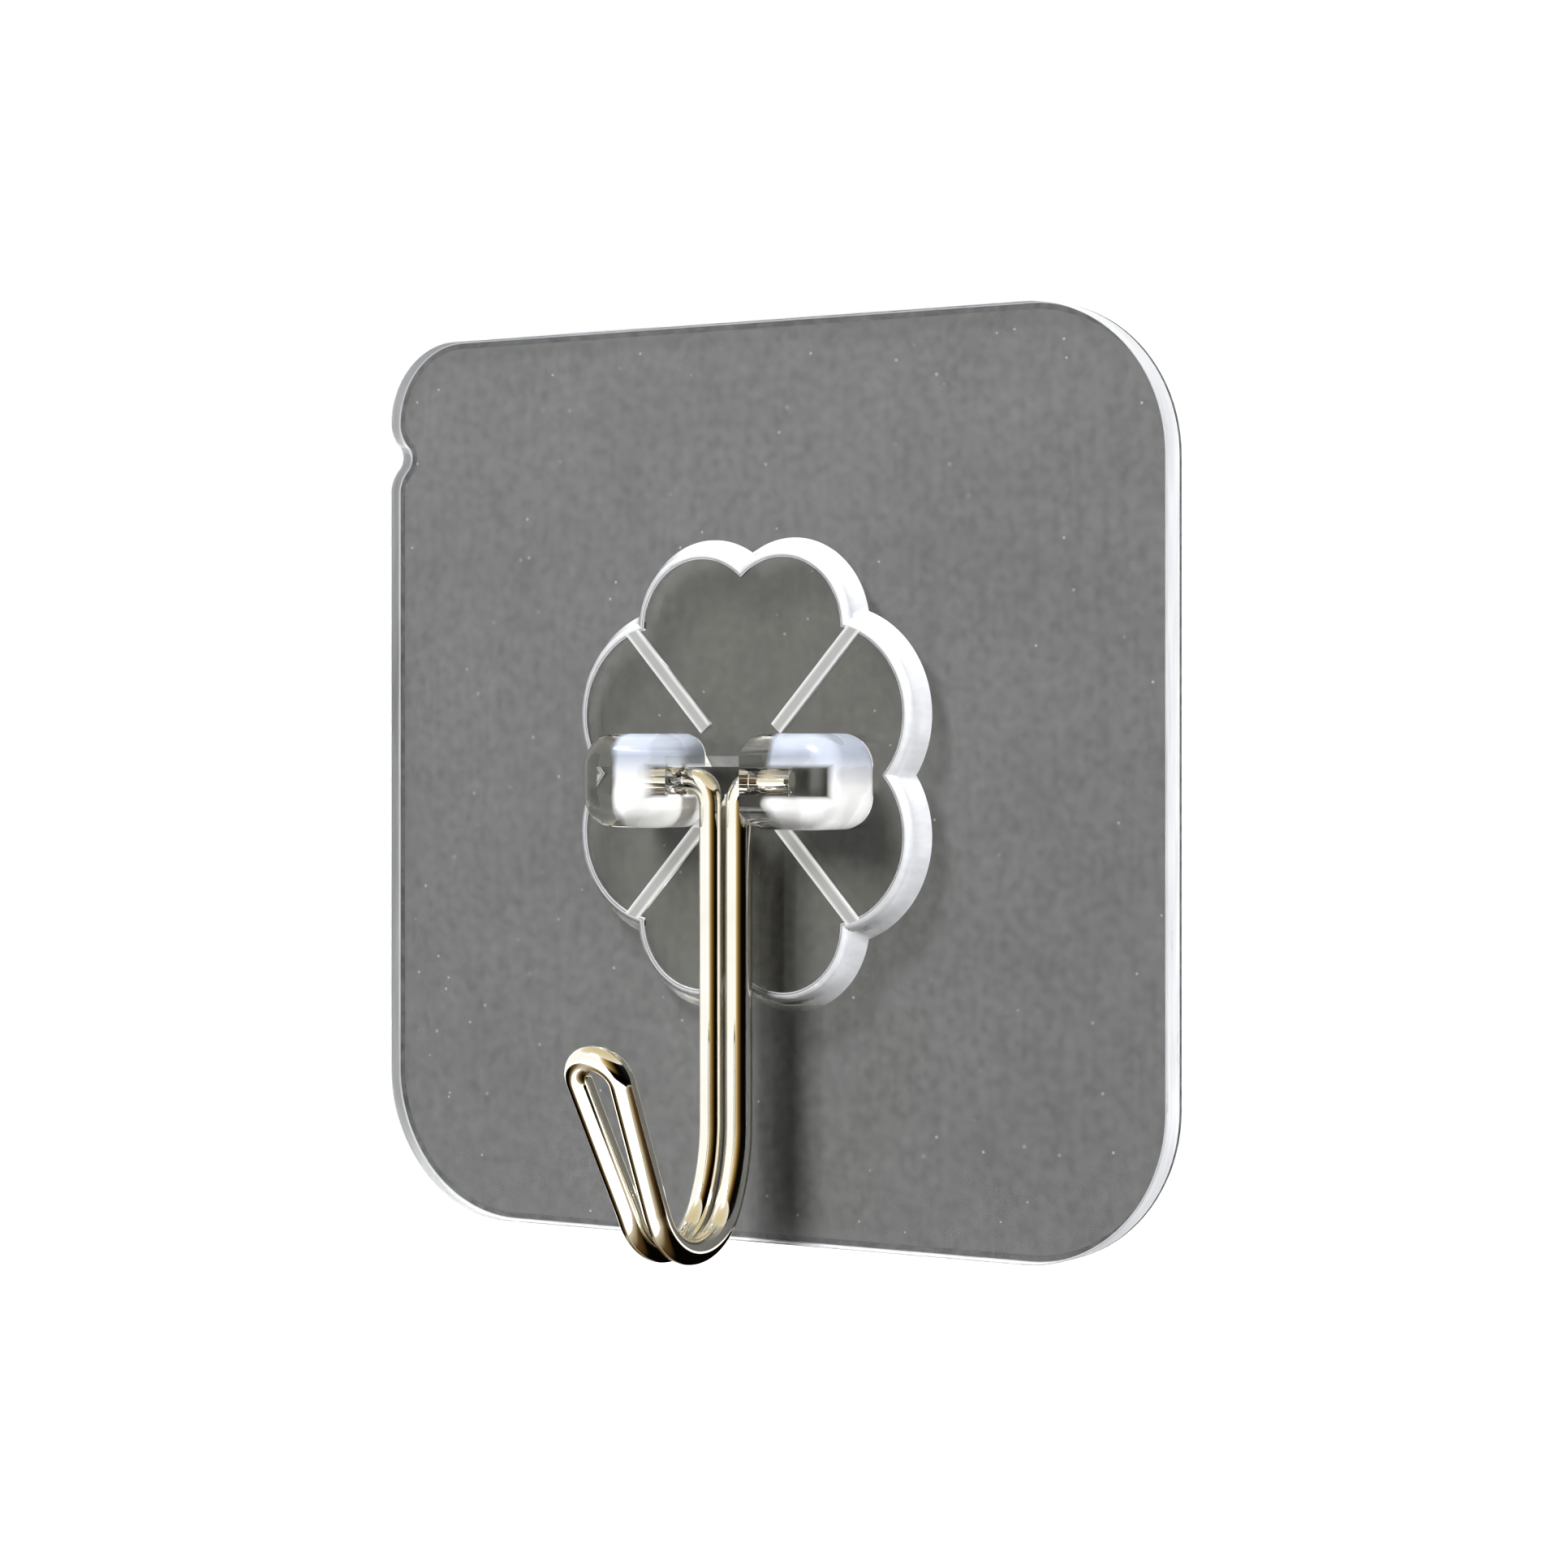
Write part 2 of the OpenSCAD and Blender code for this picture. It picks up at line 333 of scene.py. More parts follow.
# The same PVC where the die cut it: a whitish satin edge that light soaks into, with faint cutting lines
def dieCutEdge():
    material, tree = newMaterial("dieCutPvcEdge", {"Transmission Weight": 0.5, "IOR": plateShape["ior"]})
    place = addNode(tree, "ShaderNodeTexCoord").outputs["Object"]
    along, across = (perMetre(size) for size in plateShape["cutLine"])
    drawn = addNode(tree, "ShaderNodeMapping", {"Scale": (along, across, along)}, {"Vector": place})
    lines = addNode(tree, "ShaderNodeTexNoise", {"Scale": 1.0, "Detail": 3.0}, {"Vector": drawn})
    tone = addNode(tree, "ShaderNodeValToRGB", {"stops": [(0.35, "#dcdee3"), (0.6, "#eff0f3")]},
                   {"Fac": lines})
    shine = addNode(tree, "ShaderNodeMapRange", {"To Min": 0.2, "To Max": 0.45}, {"Value": lines})
    bump = addNode(tree, "ShaderNodeBump", {"Strength": 0.3, "Distance": plateShape["cutDepth"] * mm},
                   {"Height": lines})
    linkTo(tree, tree.nodes["Principled BSDF"], {"Base Color": tone, "Roughness": shine, "Normal": bump})
    letLightThrough(tree, "#ececec")
    return material


# a clear square whose front edge is rounded all round
def makePlate():
    low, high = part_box("backing_plate")
    air = plateShape["air"] * mm
    bm = bmesh.new()
    outlineFace(bm, high.y - air)
    thicken(bm, high.y - low.y - 2 * air)
    clear, cut = range(2)  # places in the list of materials
    for face in bm.faces:
        face.material_index = cut
    for find, side in ((frontFace, "front"), (backFace, "back")):
        bmesh.ops.bevel(bm, geom=find(bm).edges[:], offset=plateShape[side + "Round"] * mm,
                        offset_type="OFFSET", affect="EDGES", profile=0.5,
                        segments=plateShape[side + "Steps"], material=-1, clamp_overlap=True)
    for find in (frontFace, backFace):
        face = find(bm)
        bmesh.ops.inset_region(bm, faces=[face], thickness=plateShape["flatRim"] * mm)
        face.material_index = clear
    newPiece("clearPlate", bm, [calenderedPvc(), dieCutEdge()], "base", "backing_plate")


makePlate()
print("plate made")

# a fade is how far past an edge, in mm, painted haze starts and where it is full
seatShape = {
    "lift": 0.4,                   # mm, the clover's middle above the plate's
    "sideLobe": (6.5, 3.85, 7.0),  # X, Z and radius
    "endLobe": (3.1, 9.5, 5.8),
    "height": 1.5,
    "petalDepth": 0.25,
    "bank": 1.3,                   # how far in from the foot the bank round the petals reaches
    "bankSlack": 0.1,              # and how much less its faces do
    "ribAngle": 47.5,
    "ribWidth": 1.0,
    "slotHalf": 0.9,               # half the height of the pins' slot
    "slotEnd": 8.925,              # its end, from the middle
    "slotFront": 4.1,              # its depth from the seat's back
    "lipSlope": (0.3, 0.95),       # how far its lips face up or down
    "earInner": 2.825,
    "earOuter": 9.925,
    "earHalf": 3.05,               # half its height
    "slotShadowTop": 2.4,                # top of the painted shadow above the slot
    "slotShadowEnd": 5.2,                # and its end
    "near": 0.01,                  # a point this close to a size is there
    "levelAngle": 0.01,            # degrees, faces that turn less are one
    "softAngle": 60.0,             # sharper edges of the rim and the ribs are rounded
    "edgeRound": 0.1,
    "edgeSteps": 2,
    "ior": 1.57,
    "raisedFade": (0.02, 0.06),    # above the petals, on bank and ribs
    "ribFade": (0.02, -0.02),      # at a rib's sides
    "ribCore": 0.4,                # share of a rib that is clearest
    "ribPaintedLight": (0.3, 0.8),         # painted highlight, from that to its sides
    "bankFade": (-0.05, 0.3),
    # painted caught light on the bank
    "bankPaintedLight": 0.5,
    "earRise": (0.02, 0.15),       # a fade above the petals, on the ears
    "earFade": (0.05, 0.0),        # at an ear's outline
    "cheekFade": (-0.05, 0.25),    # beside the slot
    "endFade": (0.3, 0.7),         # past its end
    "windowFade": (-3.6, -4.6),    # X over which the left ear's window fills with painted caught light
    "paintedLightStart": (-6.6, 5.0),      # X from which an ear is painted white as caught light, left and right
    "paintedLightFade": (0.2, 0.8),
    "paintedLightPatches": (0.76, 0.97),     # between patches and in them
    "shadeFade": (-3.2, 3.2),      # Z over which an ear's painted white turns to a bluish painted shade
    "slotShadowRise": (0.05, 0.0),       # fades of the painted shadow, above the foot
    "slotShadowSide": (0.4, 0.0),
    "slotShadowFoot": (-0.3, 0.0),
    "slotShadowHead": (0.3, 0.0),
    "flow": 2.4,                   # mm, sizes of its patterns
    "flowDepth": 0.03,
    "swirl": 2.2,
    "drag": (0.5, 6.0),            # width and length
    "edgeMottle": 1.5,
    "slotMark": 0.8,
    "paintedLightWay": (0.8, 0, 0.6),    # the way a bank faces where it is painted whitest, as if lit
    "wallTurn": (-0.4, 0.25),      # how far it faces that way, from where it is clear to where it is white
    "wallClear": (0.95, 0.1),      # and how clear it is there
}
petalFloor = seatShape["height"] - seatShape["petalDepth"]
lobes = (seatShape["sideLobe"], seatShape["endLobe"])


# where a point of the seat is, in mm from the plate's middle, with its height above the foot
def seatPlace(tree, place):
    inMm = addNode(tree, "ShaderNodeVectorMath", {"operation": "SCALE", "Scale": perMetre(1)}, {0: place})
    apart = addNode(tree, "ShaderNodeSeparateXYZ", None, {"Vector": inMm}).outputs
    centred = addNode(tree, "ShaderNodeVectorMath", {"operation": "SUBTRACT", 1: (0, 0, seatShape["lift"])},
                      {0: inMm})
    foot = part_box("hook_seat")[1].y / mm
    return {
        "x": apart["X"],
        "z": apart["Z"],
        "sideways": addNode(tree, "ShaderNodeMath", {"operation": "ABSOLUTE"}, {0: apart["X"]}),
        "upright": addNode(tree, "ShaderNodeMath", {"operation": "ABSOLUTE"}, {0: apart["Z"]}),
        "height": addNode(tree, "ShaderNodeMath", {"operation": "SUBTRACT", 0: foot}, {1: apart["Y"]}),
        # one quarter of the clover stands for all four
        "folded": addNode(tree, "ShaderNodeVectorMath", {"operation": "ABSOLUTE"}, {0: centred}),
    }


# 1 inside a region and 0 outside: each limit has a value, the edge that it has to pass and a fade
def inRegion(tree, *limits):
    share = None
    for value, edge, (start, full) in limits:
        past = addNode(tree, "ShaderNodeMapRange", {"From Min": edge + start, "From Max": edge + full},
                       {"Value": value})
        if share is None:
            share = past
        else:
            share = addNode(tree, "ShaderNodeMath", {"operation": "MULTIPLY"}, {0: share, 1: past})
    return share


def earLimits(spot):
    return [
        (spot["height"], petalFloor, seatShape["earRise"]),
        (spot["upright"], seatShape["earHalf"], seatShape["earFade"]),
        (spot["sideways"], seatShape["earOuter"], seatShape["earFade"]),
    ]


# how much caught light is painted white on an ear: it sets in raggedly along the ear, in patches, round a
# clear window over the right pin
def earPaintedLight(tree, place, spot, flow):
    left, right = seatShape["paintedLightStart"]
    start = addNode(tree, "ShaderNodeMapRange",
                    {"From Min": -seatShape["earInner"], "From Max": seatShape["earInner"],
                     "To Min": left, "To Max": right}, {"Value": spot["x"]})
    along = addNode(tree, "ShaderNodeMath", {"operation": "SUBTRACT"}, {0: spot["x"], 1: start})
    ragged = addNode(tree, "ShaderNodeMapRange", {"From Min": 0.3, "From Max": 0.7}, {"Value": flow})
    drift = addNode(tree, "ShaderNodeMath", {"operation": "ADD"}, {0: along, 1: ragged})
    swirl = addNode(tree, "ShaderNodeTexNoise", {"Scale": perMetre(seatShape["swirl"]), "Detail": 0.0},
                    {"Vector": place})
    between, full = seatShape["paintedLightPatches"]
    patches = addNode(tree, "ShaderNodeMapRange",
                      {"From Min": 0.38, "From Max": 0.5, "To Min": between, "To Max": full},
                      {"Value": swirl})
    window = inRegion(tree, (spot["x"], 0, seatShape["windowFade"]))
    cheek = inRegion(tree, (spot["upright"], seatShape["slotHalf"], seatShape["cheekFade"]))
    end = inRegion(tree, (spot["sideways"], seatShape["slotEnd"], seatShape["endFade"]))
    beside = addNode(tree, "ShaderNodeMath", {"operation": "MAXIMUM"}, {0: cheek, 1: end})
    filled = addNode(tree, "ShaderNodeMath", {"operation": "MAXIMUM"}, {0: window, 1: beside})
    paintedLightShare = addNode(tree, "ShaderNodeMath", {"operation": "MULTIPLY"}, {0: filled, 1: patches})
    onEar = inRegion(tree, *earLimits(spot), (drift, 0, seatShape["paintedLightFade"]))
    return addNode(tree, "ShaderNodeMath", {"operation": "MULTIPLY"}, {0: onEar, 1: paintedLightShare})


# how much caught light is painted white on the raised bank and ribs, a rib most along its sides as painted
# highlights
def raisedPaintedLight(tree, spot):
    turn = math.radians(seatShape["ribAngle"])
    across = addNode(tree, "ShaderNodeVectorMath",
                     {"operation": "DOT_PRODUCT", 1: (-math.sin(turn), 0, math.cos(turn))},
                     {0: spot["folded"]})
    beside = addNode(tree, "ShaderNodeMath", {"operation": "ABSOLUTE"}, {0: across.outputs["Value"]})
    half = seatShape["ribWidth"] / 2
    core, side = seatShape["ribPaintedLight"]
    caughtLightPaint = addNode(tree, "ShaderNodeMapRange",
                   {"From Min": half * seatShape["ribCore"], "From Max": half,
                    "To Min": core, "To Max": side}, {"Value": beside})
    onRib = inRegion(tree, (beside, half, seatShape["ribFade"]))
    ribs = addNode(tree, "ShaderNodeMath", {"operation": "MULTIPLY"}, {0: onRib, 1: caughtLightPaint})
    flat = addNode(tree, "ShaderNodeVectorMath", {"operation": "MULTIPLY", 1: (1, 0, 1)},
                   {0: spot["folded"]})
    outside = []
    for lobeX, lobeZ, radius in lobes:
        away = addNode(tree, "ShaderNodeVectorMath", {"operation": "DISTANCE", 1: (lobeX, 0, lobeZ)},
                       {0: flat})
        outside.append(addNode(tree, "ShaderNodeMath", {"operation": "SUBTRACT", 1: radius},
                               {0: away.outputs["Value"]}))
    footLine = addNode(tree, "ShaderNodeMath", {"operation": "MINIMUM"}, dict(enumerate(outside)))
    onBank = inRegion(tree, (footLine, -seatShape["bank"], seatShape["bankFade"]))
    bank = addNode(tree, "ShaderNodeMath", {"operation": "MULTIPLY", 1: seatShape["bankPaintedLight"]}, {0: onBank})
    either = addNode(tree, "ShaderNodeMath", {"operation": "MAXIMUM"}, {0: ribs, 1: bank})
    raised = inRegion(tree, (spot["height"], petalFloor, seatShape["raisedFade"]))
    return addNode(tree, "ShaderNodeMath", {"operation": "MULTIPLY"}, {0: either, 1: raised})


# painted shadow: above the slot the seat lets no light through to the film, so the open slot looks black
def paintedSlotShadow(tree, spot):
    return inRegion(tree, (spot["height"], 0, seatShape["slotShadowRise"]),
                    (spot["sideways"], seatShape["slotShadowEnd"], seatShape["slotShadowSide"]),
                    (spot["z"], seatShape["slotHalf"], seatShape["slotShadowFoot"]),
                    (spot["z"], seatShape["slotShadowTop"], seatShape["slotShadowHead"]))


# Clear polycarbonate, injection moulded: glassy petals, ribs with painted highlights, and ears painted white
# with caught light except at their left ends and in the window over the right pin, turning to a bluish
# painted shade at their tops
def mouldedPolycarbonate():
    material, tree = newMaterial("clearMouldedPolycarbonate",
                                 {"IOR": seatShape["ior"], "Specular Tint": toLinear("#909090")})
    place = addNode(tree, "ShaderNodeTexCoord").outputs["Object"]
    spot = seatPlace(tree, place)
    flow = addNode(tree, "ShaderNodeTexNoise", {"Scale": perMetre(seatShape["flow"]), "Detail": 1.0},
                   {"Vector": place})
    paintedLightShare = addNode(tree, "ShaderNodeMath", {"operation": "MAXIMUM"},
                    {0: earPaintedLight(tree, place, spot, flow), 1: raisedPaintedLight(tree, spot)})
    inside = addNode(tree, "ShaderNodeNewGeometry").outputs["Backfacing"]  # from there no painted haze is seen
    outside = addNode(tree, "ShaderNodeMath", {"operation": "SUBTRACT", 0: 1.0}, {1: inside})
    paintedHaze = addNode(tree, "ShaderNodeMath", {"operation": "MULTIPLY"}, {0: paintedLightShare, 1: outside})
    clear = addNode(tree, "ShaderNodeMath", {"operation": "SUBTRACT", 0: 1.0}, {1: paintedHaze})
    # painted shade: an ear's painted white turns bluish grey towards its top
    upperEarShade = inRegion(tree, *earLimits(spot), (spot["z"], 0, seatShape["shadeFade"]))
    caughtLightPaint = addNode(tree, "ShaderNodeValToRGB", {"stops": [(0.45, "#f4f4f3"), (0.75, "#b0b7c6")]},
                   {"Fac": upperEarShade})
    isPaintedLight = addNode(tree, "ShaderNodeMapRange", {"From Max": 0.2}, {"Value": paintedHaze})
    tone = addNode(tree, "ShaderNodeMix", {"data_type": "RGBA", "A": toLinear("#ebeae5")},
                   {"Factor": isPaintedLight, "B": caughtLightPaint})
    shine = addNode(tree, "ShaderNodeMapRange", {"To Max": 0.3}, {"Value": paintedHaze})
    bump = addNode(tree, "ShaderNodeBump", {"Strength": 0.2, "Distance": seatShape["flowDepth"] * mm},
                   {"Height": flow})
    linkTo(tree, tree.nodes["Principled BSDF"],
           {"Base Color": tone.outputs["Result"], "Transmission Weight": clear,
            "Roughness": shine, "Normal": bump})
    # painted shadow over the slot: light that would pass here is blocked
    letLightThrough(tree, "#f4f4f2", paintedSlotShadow(tree, spot))
    return material


# The same plastic on the leaning bank, with painted light: faces turned right and up are painted a whitish
# satin with faint drag marks, as if lit, and faces turned left and seen from inside stay clear
def draftedWall():
    material, tree = newMaterial("paintedLightMouldedWall", {"IOR": seatShape["ior"]})
    surface = addNode(tree, "ShaderNodeTexCoord").outputs
    across, along = (perMetre(size) for size in seatShape["drag"])
    drawn = addNode(tree, "ShaderNodeMapping", {"Scale": (across, along, across)},
                    {"Vector": surface["Object"]})
    drag = addNode(tree, "ShaderNodeTexNoise", {"Scale": 1.0, "Detail": 3.0}, {"Vector": drawn})
    tone = addNode(tree, "ShaderNodeValToRGB", {"stops": [(0.35, "#e0e2e7"), (0.6, "#e8eaee")]},
                   {"Fac": drag})
    facing = addNode(tree, "ShaderNodeVectorMath", {"operation": "DOT_PRODUCT", 1: seatShape["paintedLightWay"]},
                     {0: surface["Normal"]})
    away, towards = seatShape["wallTurn"]
    clearest, whitest = seatShape["wallClear"]
    # painted light: how white a face is follows the way it turns, not the lamps
    unlit = addNode(tree, "ShaderNodeMapRange",
                    {"From Min": away, "From Max": towards, "To Min": clearest, "To Max": whitest},
                    {"Value": facing.outputs["Value"]})
    inside = addNode(tree, "ShaderNodeNewGeometry").outputs["Backfacing"]
    clear = addNode(tree, "ShaderNodeMath", {"operation": "MAXIMUM"}, {0: unlit, 1: inside})
    shine = addNode(tree, "ShaderNodeMapRange",
                    {"From Min": 1.0, "From Max": 0.0, "To Min": 0.02, "To Max": 0.3}, {"Value": clear})
    linkTo(tree, tree.nodes["Principled BSDF"],
           {"Base Color": tone, "Transmission Weight": clear, "Roughness": shine})
    letLightThrough(tree, "#d4d4d4")
    return material


# The same plastic along the rounded edges of rim and ribs and on the slot's lips: a thin whitish line, a
# painted highlight
def highlightEdge():
    material, tree = newMaterial("paintedHighlightPolycarbonateEdge",
                                 {"IOR": seatShape["ior"], "Transmission Weight": 0.35})
    place = addNode(tree, "ShaderNodeTexCoord").outputs["Object"]
    edgeNoise = addNode(tree, "ShaderNodeTexNoise", {"Scale": perMetre(seatShape["edgeMottle"]), "Detail": 3.0},
                   {"Vector": place})
    tone = addNode(tree, "ShaderNodeValToRGB", {"stops": [(0.3, "#c9ccd4"), (0.7, "#f4f5f8")]},
                   {"Fac": edgeNoise})
    shine = addNode(tree, "ShaderNodeMapRange", {"To Max": 0.4}, {"Value": edgeNoise})
    linkTo(tree, tree.nodes["Principled BSDF"], {"Base Color": tone, "Roughness": shine})
    letLightThrough(tree, "#dcdcda")
    return material


# The same plastic inside the pins' slot: clear, with painted shadow: its walls let only a dark share of
# light through, so the slot is dim
def slotWall():
    material, tree = newMaterial("clearSlotWall",
                                 {"IOR": seatShape["ior"], "Transmission Weight": 1.0,
                                  "Specular Tint": toLinear("#909090"), "Base Color": toLinear("#eeeeec")})
    place = addNode(tree, "ShaderNodeTexCoord").outputs["Object"]
    marks = addNode(tree, "ShaderNodeTexNoise", {"Scale": perMetre(seatShape["slotMark"]), "Detail": 2.0},
                    {"Vector": place})
    shine = addNode(tree, "ShaderNodeMapRange", {"To Max": 0.06}, {"Value": marks})
    linkTo(tree, tree.nodes["Principled BSDF"], {"Roughness": shine})
    letLightThrough(tree, "#787878")
    return material


# mm from the clover's foot line to a point, less than 0 inside it
def outsideLobes(point):
    x, z = abs(point.x / mm), abs(point.z / mm - seatShape["lift"])
    return min(math.hypot(x - lobeX, z - lobeZ) - radius for lobeX, lobeZ, radius in lobes)


def inSlot(point, foot):
    near = seatShape["near"]
    return (abs(point.x) < (seatShape["slotEnd"] + near) * mm
            and abs(point.z) < (seatShape["slotHalf"] + near) * mm
            and foot - point.y < (seatShape["slotFront"] + near) * mm)


# on the leaning lips of the slot, between the ears
def onLip(point, foot):
    near = seatShape["near"]
    return (abs(point.x) < (seatShape["earInner"] + near) * mm
            and abs(point.z) > (seatShape["slotHalf"] - near) * mm
            and foot - point.y < (petalFloor + near) * mm)


# the moulded clover with its ears, from the CAD solid, with its rim and ribs softened
def makeSeat():
    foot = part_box("hook_seat")[1].y
    bm = bmesh.new()
    bm.from_mesh(frame["nodes"]["hook_seat"].data)
    bmesh.ops.remove_doubles(bm, verts=bm.verts, dist=tiny)
    levelAngle = math.radians(seatShape["levelAngle"])
    level = [e for e in bm.edges if e.is_manifold and e.calc_face_angle() < levelAngle]
    bmesh.ops.dissolve_edges(bm, edges=level, use_verts=True)
    bmesh.ops.recalc_face_normals(bm, faces=bm.faces)
    wall, highlighted, slot = 1, 2, 3    # places in the list of plastics, after the clear one
    bankLine = seatShape["bankSlack"] - seatShape["bank"]
    backwards = 0.9                 # a face turned further to the back is the seat's back
    lowSlope, highSlope = seatShape["lipSlope"]
    for face in bm.faces:
        spots = [v.co for v in face.verts]
        if face.normal.y < backwards and all(outsideLobes(spot) > bankLine for spot in spots):
            face.material_index = wall
        elif all(inSlot(spot, foot) for spot in spots):
            face.material_index = slot
        # the slot's lips get the painted highlight
        elif lowSlope < abs(face.normal.z) < highSlope and all(onLip(spot, foot) for spot in spots):
            face.material_index = highlighted
    top = foot - seatShape["height"] * mm
    softAngle = math.radians(seatShape["softAngle"])
    sharp = [e for e in bm.edges if e.is_manifold and e.is_convex and e.calc_face_angle() > softAngle
             and all(abs(v.co.y - top) < tiny for v in e.verts)]
    rounds = bmesh.ops.bevel(bm, geom=sharp, offset=seatShape["edgeRound"] * mm, offset_type="OFFSET",
                             affect="EDGES", profile=0.5, segments=seatShape["edgeSteps"], material=-1,
                             clamp_overlap=True)
    # painted highlight along the rounded edges
    for face in rounds["faces"]:
        face.material_index = highlighted
    plastics = [mouldedPolycarbonate(), draftedWall(), highlightEdge(), slotWall()]
    piece = newPiece("clearSeat", bm, plastics, "base", "hook_seat")
    mesh = piece.data
    for edge in mesh.edges:
        if all(abs(mesh.vertices[v].co.y - foot) < tiny for v in edge.vertices):
            edge.use_edge_sharp = True  # the foot
    piece.modifiers.new("flatFaces", "WEIGHTED_NORMAL").keep_sharp = True


makeSeat()
print("seat made")

wireShape = {
    "diameter": 1.7,         # mm
    "legGap": 0.35,
    "legLength": 22.0,
    "pinLength": 3.1,
    "pinBend": 1.5,          # radii are on the wire's centre line
    "easyBend": 11.0,
    "easyAngle": 25.0,
    "tightBend": 4.4,
    "tipLean": 28.0,
    "tipRun": 9.35,
    "loopBend": 1.6,
    "flareBend": 6.0,
    "rest": 0.4,             # straight length between two bends
    "endRound": 0.2,
    "endSteps": 4,
    "sides": 40,
    "stepAngle": 4.0,        # degrees of bend in each step
    "smear": 4.0,            # mm, sizes of its patterns
    "drawLine": (0.12, 5.0),  # width and length
    "lineDepth": 0.01,
}


# Bright nickel on drawn steel wire, plated: a warm mirror with soft smears and faint draw lines
def brightNickel():
    material, tree = newMaterial("brightNickelPlate", {"Metallic": 1.0})
    place = addNode(tree, "ShaderNodeTexCoord").outputs["Object"]
    smear = addNode(tree, "ShaderNodeTexNoise",
                    {"Scale": perMetre(wireShape["smear"]), "Detail": 5.0, "Roughness": 0.6},
                    {"Vector": place})
    tone = addNode(tree, "ShaderNodeValToRGB", {"stops": [(0.3, "#f2eee2"), (0.7, "#faf7ef")]},
                   {"Fac": smear})
    shine = addNode(tree, "ShaderNodeMapRange",
                    {"From Min": 0.3, "From Max": 0.75, "To Min": 0.05, "To Max": 0.12}, {"Value": smear})
    across, along = (perMetre(size) for size in wireShape["drawLine"])
    drawn = addNode(tree, "ShaderNodeMapping", {"Scale": (across, across, along)}, {"Vector": place})
    lines = addNode(tree, "ShaderNodeTexNoise", {"Scale": 1.0, "Detail": 3.0}, {"Vector": drawn})
    bump = addNode(tree, "ShaderNodeBump", {"Strength": 0.06, "Distance": wireShape["lineDepth"] * mm},
                   {"Height": lines})
    linkTo(tree, tree.nodes["Principled BSDF"], {"Base Color": tone, "Roughness": shine, "Normal": bump})
    return material


# one length of wire: two pins, two legs, the bend that carries the load and the loop
def makeWire():
    shape = wireShape
    legX = shape["diameter"] / 2 + shape["legGap"] / 2
    pinEnd = legX + shape["pinBend"] + shape["pinLength"]
    loopReach = shape["loopBend"] + shape["flareBend"]
    flare = math.degrees(math.acos((legX + shape["flareBend"]) / math.hypot(shape["tipRun"], loopReach))
                         - math.atan2(shape["tipRun"], loopReach))
    tightAngle = halfTurn - shape["tipLean"] - shape["easyAngle"]
    route = [  # a run goes straight ahead, a bend has a radius and an angle, a roll turns the next bend
        ("run", shape["pinLength"]), ("bend", shape["pinBend"], quarterTurn), ("roll", quarterTurn),
        ("run", shape["legLength"] - shape["pinBend"]), ("bend", shape["easyBend"], shape["easyAngle"]),
        ("run", shape["rest"]), ("bend", shape["tightBend"], tightAngle),
        ("run", shape["rest"]), ("roll", -quarterTurn), ("bend", shape["flareBend"], flare),
        ("run", shape["tipRun"]), ("roll", halfTurn), ("bend", shape["loopBend"], quarterTurn + flare),
    ]
    pinAxis = Vector(frame["joints"][0]["pos_m"])
    place = Matrix.Translation(pinAxis + Vector((pinEnd * mm, 0, 0)))  # the right pin's end
    place = place @ Matrix.Rotation(math.radians(-quarterTurn), 4, "Y")
    place = place @ Matrix.Rotation(math.radians(halfTurn), 4, "Z")
    bm = bmesh.new()
    bmesh.ops.create_circle(bm, cap_ends=True, segments=shape["sides"], radius=shape["diameter"] / 2 * mm,
                            matrix=place)
    cap = bm.faces[:]
    ring = bm.edges[:]
    for kind, *sizes in route:
        if kind == "run":
            ring = bmesh.ops.extrude_edge_only(bm, edges=ring)["geom"]
            ahead = place.to_3x3() @ Vector((0, 0, sizes[0] * mm))
            ringVerts = [v for v in ring if isinstance(v, bmesh.types.BMVert)]
            bmesh.ops.translate(bm, verts=ringVerts, vec=ahead)
            place = place @ Matrix.Translation((0, 0, sizes[0] * mm))
        elif kind == "bend":
            radius, angle = sizes[0] * mm, math.radians(sizes[1])
            axis = place.to_3x3() @ Vector((0, 1, 0))
            steps = max(1, math.ceil(sizes[1] / shape["stepAngle"]))
            ring = bmesh.ops.spin(bm, geom=ring, cent=place @ Vector((radius, 0, 0)), axis=axis, angle=angle,
                                  steps=steps)["geom_last"]
            place = (place @ Matrix.Translation((radius, 0, 0)) @ Matrix.Rotation(angle, 4, "Y")
                     @ Matrix.Translation((-radius, 0, 0)))
        else:
            place = place @ Matrix.Rotation(math.radians(sizes[0]), 4, "Z")
        ring = [e for e in ring if isinstance(e, bmesh.types.BMEdge)]
    bmesh.ops.bevel(bm, geom=cap[0].edges[:], offset=shape["endRound"] * mm, offset_type="OFFSET",
                    affect="EDGES", profile=0.5, segments=shape["endSteps"], material=-1, clamp_overlap=True)
    bmesh.ops.mirror(bm, geom=bm.verts[:] + bm.edges[:] + bm.faces[:], axis="X", merge_dist=tiny)
    bmesh.ops.remove_doubles(bm, verts=bm.verts, dist=tiny)
    bmesh.ops.recalc_face_normals(bm, faces=bm.faces)
    newPiece("platedWire", bm, [brightNickel()], "hook", "wire_hook")


makeWire()
print("wire made")

